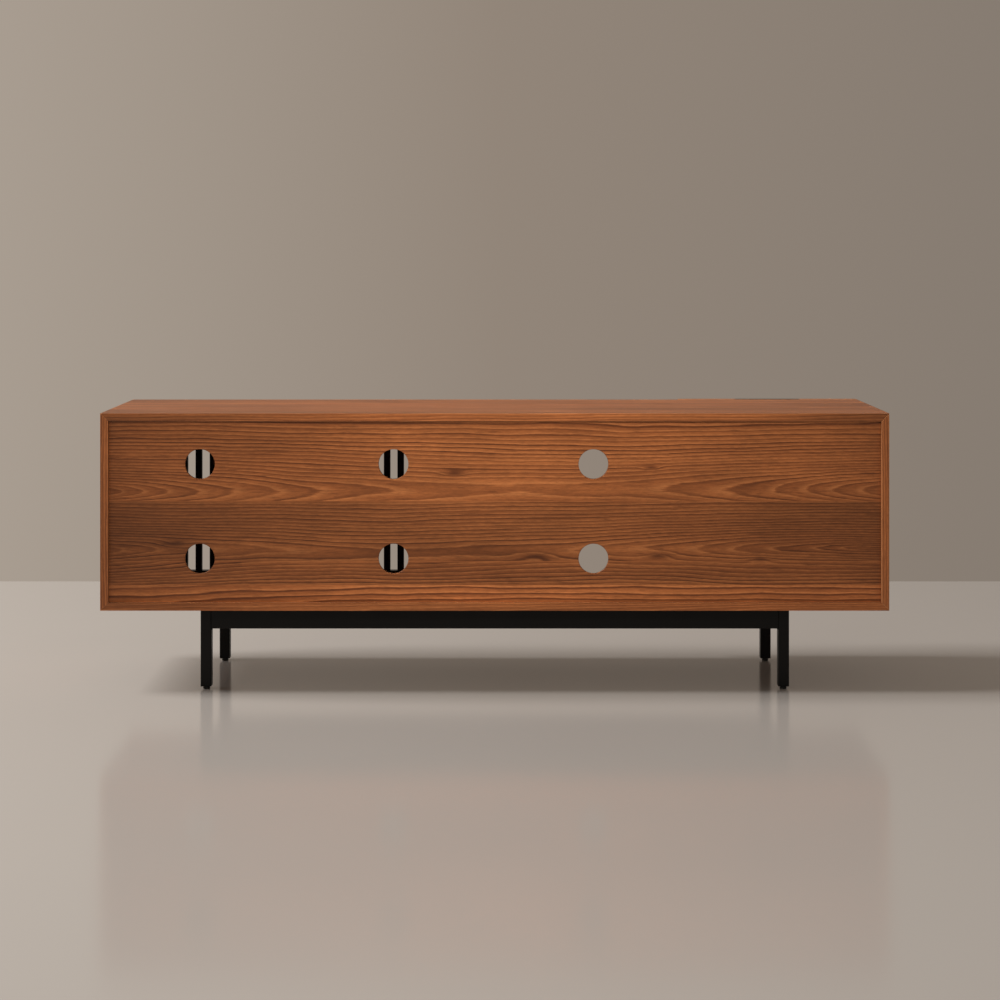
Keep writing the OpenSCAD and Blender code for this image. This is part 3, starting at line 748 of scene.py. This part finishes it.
def levelling_feet():
    """Feet with a soft-edged pad, a hexagon for the spanner and a threaded stem."""
    for corner in CORNERS:
        node = "foot_" + corner
        low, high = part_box(node)
        pad = (high.x - low.x) / 2
        pad_top = 0.0044
        neck_top = 0.0068
        flats = 0.0052
        stem = 0.0039
        rings = [
            Ring(0.0, pad - 0.0018, ROUND),
            Ring(0.0003, pad - 0.0009, ROUND),
            Ring(0.0012, pad - 0.0001, ROUND),
            Ring(0.0020, pad, ROUND),
            Ring(pad_top - 0.0009, pad - 0.0001, ROUND),
            Ring(pad_top - 0.0002, pad - 0.0007, ROUND),
            Ring(pad_top, pad - 0.0014, ROUND),
            Ring(pad_top, flats, HEX),
            Ring(neck_top, flats, HEX),
            Ring(neck_top, stem + 0.0002, ROUND),
        ]
        rings += thread(neck_top + 0.0002, high.z, stem)
        place = Matrix.Translation(((low.x + high.x) / 2, (low.y + high.y) / 2, 0.0))
        solid = joined([turned(rings)], [place])
        piece = add_piece("levelling_" + node, solid, BLACK_PLASTIC, node)
        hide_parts(node)


def weld_bead(start, end, side, up, radius=0.0028):
    """A rippled fillet from start to end, in the corner that opens towards side and up."""
    ripples = 14
    ripple_depth = 0.14
    hollow = 0.28
    across = 5
    along = Vector(end) - Vector(start)
    side = Vector(side)
    up = Vector(up)
    bead = bmesh.new()
    rows = []
    for i in range(ripples * 2 + 1):
        size = radius * (1.0 - ripple_depth * (i % 2))
        middle = Vector(start) + along * (i / (ripples * 2))
        row = [bead.verts.new(middle)]
        for j in range(across + 1):
            turn = j / across * QUARTER
            reach = size * (1.0 - hollow + hollow * abs(math.cos(2 * turn)))
            row.append(bead.verts.new(middle + (side * math.cos(turn) + up * math.sin(turn)) * reach))
        rows.append(row)
    for one, two in zip(rows, rows[1:]):
        for j in range(len(one)):
            k = (j + 1) % len(one)
            bead.faces.new((one[j], one[k], two[k], two[j]))
    bead.faces.new(rows[0])
    bead.faces.new(list(reversed(rows[-1])))
    return bead


def base_welds():
    """Fillet welds under both ends of each rail of the base."""
    inset = 0.003
    beads = []
    for rail in ("rail_front", "rail_rear"):
        low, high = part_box(rail)
        for x, side in ((low.x, (1, 0, 0)), (high.x, (-1, 0, 0))):
            start = (x, low.y + inset, low.z)
            beads.append(weld_bead(start, (x, high.y - inset, low.z), side, (0, 0, -1)))
    for rail in ("rail_left", "rail_right"):
        low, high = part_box(rail)
        for y, side in ((low.y, (0, 1, 0)), (high.y, (0, -1, 0))):
            start = (low.x + inset, y, low.z)
            beads.append(weld_bead(start, (high.x - inset, y, low.z), side, (0, 0, -1)))
    solid = joined(beads, [Matrix.Identity(4)] * len(beads))
    add_piece("base_welds", solid, BLACK_STEEL, "case", sharp=50.0)


def add_fixings():
    base_fixing_screws()
    catch_screws()
    runner_screws()
    levelling_feet()
    base_welds()


# ---------------------------------------------------------------- stage

WALL_DIM = (0.234, 0.197, 0.164, 1)
WALL_MIDDLE = (0.287, 0.236, 0.192, 1)
WALL_BRIGHT = (0.405, 0.347, 0.292, 1)


def make_camera():
    """Level camera behind the cabinet, looking along -Y, with the view shifted down."""
    aside = -0.0119
    data = bpy.data.cameras.new("camera")
    data.sensor_width = 36.0
    data.lens = 70.1
    data.shift_y = -0.254
    data.clip_end = 50.0
    camera = bpy.data.objects.new("camera", data)
    distance = 4.440
    height = 1.0216
    camera.location = (aside, case_rear_y + distance, height)
    camera.rotation_euler = (math.radians(90), 0, math.radians(180))
    bpy.context.scene.collection.objects.link(camera)
    bpy.context.scene.camera = camera


def make_floor():
    """Pale polished floor. Where the wall would stand it falls away, out of the camera's sight."""
    to_wall = 1.491
    wall_y = case_rear_y - to_wall
    reach = 9.0
    fall = 0.19
    corners = []
    for y, z in ((reach, 0), (wall_y, 0), (-reach, fall * (-reach - wall_y))):
        corners += [(-reach, y, z), (reach, y, z)]
    mesh = bpy.data.meshes.new("floor")
    mesh.from_pydata(corners, [], [(0, 1, 3, 2), (2, 3, 5, 4)])
    floor = bpy.data.objects.new("floor", mesh)
    bpy.context.scene.collection.objects.link(floor)
    g = Graph("polished_floor")
    at = g.place.outputs["Object"]
    cloud = g.noise(at, 0.8, 3.0, 0.5)
    colour = g.ramp(cloud, [(0.3, (0.425, 0.402, 0.380)), (0.7, (0.438, 0.415, 0.392))])
    g.bump(g.noise(at, 35.0, 2.0), 0.02, 0.001)
    floor.data.materials.append(g.finish(colour, g.spread(cloud, 0.3, 0.7, 0.13, 0.155), IOR=1.75))
    floor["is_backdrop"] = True
    return floor


def area_light(name, place, target, size, power, spread=180.0):
    """A rectangular lamp that faces its target. Its power is in watts and its spread in degrees."""
    data = bpy.data.lights.new(name, "AREA")
    data.shape = "RECTANGLE"
    data.size, data.size_y = size
    data.energy = power
    data.color = (1.0, 0.97, 0.94)
    data.spread = math.radians(spread)
    light = bpy.data.objects.new(name, data)
    light.location = place
    aim = Vector(target) - Vector(place)
    light.rotation_euler = aim.to_track_quat("-Z", "Y").to_euler()
    bpy.context.scene.collection.objects.link(light)
    return light


def make_lights(floor):
    """A key light above one end, a wash on the back panel and soft light on the other sides. The
    key light is two lamps in one place, so that the polished floor doesn't mirror it."""
    key_place = (7.5, 0.3, 8.0)
    target = (0.0, 0.15, 0.2)
    key = area_light("key", key_place, target, (3.6, 1.4), 1220)
    key_on_floor = area_light("key_on_floor", key_place, target, (3.0, 6.5), 1410)
    fill = area_light("fill", (-5.2, 0.4, 5.0), target, (2.0, 1.0), 42)
    wash = area_light("wash", (-0.03, 2.6, 1.70), (-0.03, 0.2, 0.69), (0.9, 0.4), 4.4, spread=48.0)
    front = area_light("front", (-0.8, -3.0, 2.4), (0.0, -0.2, 0.4), (2.4, 1.4), 30)

    cabinet = bpy.data.collections.new("cabinet")
    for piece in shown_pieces():
        cabinet.objects.link(piece)
    ground = bpy.data.collections.new("ground")
    ground.objects.link(floor)
    key_on_floor.light_linking.receiver_collection = ground
    for light in (key, fill, wash, front):
        light.light_linking.receiver_collection = cabinet
    for light in (key_on_floor, wash, front):
        light.visible_glossy = False


def make_room():
    """A plain wall all round, brighter on the side of the key light."""
    turn = 0.28
    world = bpy.data.worlds.new("room")
    world.use_nodes = True
    tree = world.node_tree
    background = tree.nodes["Background"]
    place = tree.nodes.new("ShaderNodeTexCoord")
    split = tree.nodes.new("ShaderNodeSeparateXYZ")
    ramp = tree.nodes.new("ShaderNodeValToRGB")
    side = tree.nodes.new("ShaderNodeMapRange")
    side.inputs["From Min"].default_value = -turn
    side.inputs["From Max"].default_value = turn
    ramp.color_ramp.elements[0].color = WALL_DIM
    ramp.color_ramp.elements[1].color = WALL_BRIGHT
    middle = ramp.color_ramp.elements.new(0.5)
    middle.color = WALL_MIDDLE
    tree.links.new(place.outputs["Generated"], split.inputs[0])
    tree.links.new(split.outputs[0], side.inputs["Value"])
    tree.links.new(side.outputs[0], ramp.inputs[0])
    tree.links.new(ramp.outputs[0], background.inputs["Color"])
    bpy.context.scene.world = world


BLACK_STEEL = powder_coat("black_powder_coat")
BLACK_PLASTIC = moulded_plastic("black_plastic", (0.010, 0.010, 0.010), (0.016, 0.016, 0.016), 0.5)
METAL = zinc("zinc_plate")

make_camera()
floor = make_floor()
bpy.context.scene.view_settings.view_transform = "Standard"
dress_case()
dress_doors()
dress_drawers()
dress_base()
add_fixings()
make_lights(floor)
make_room()
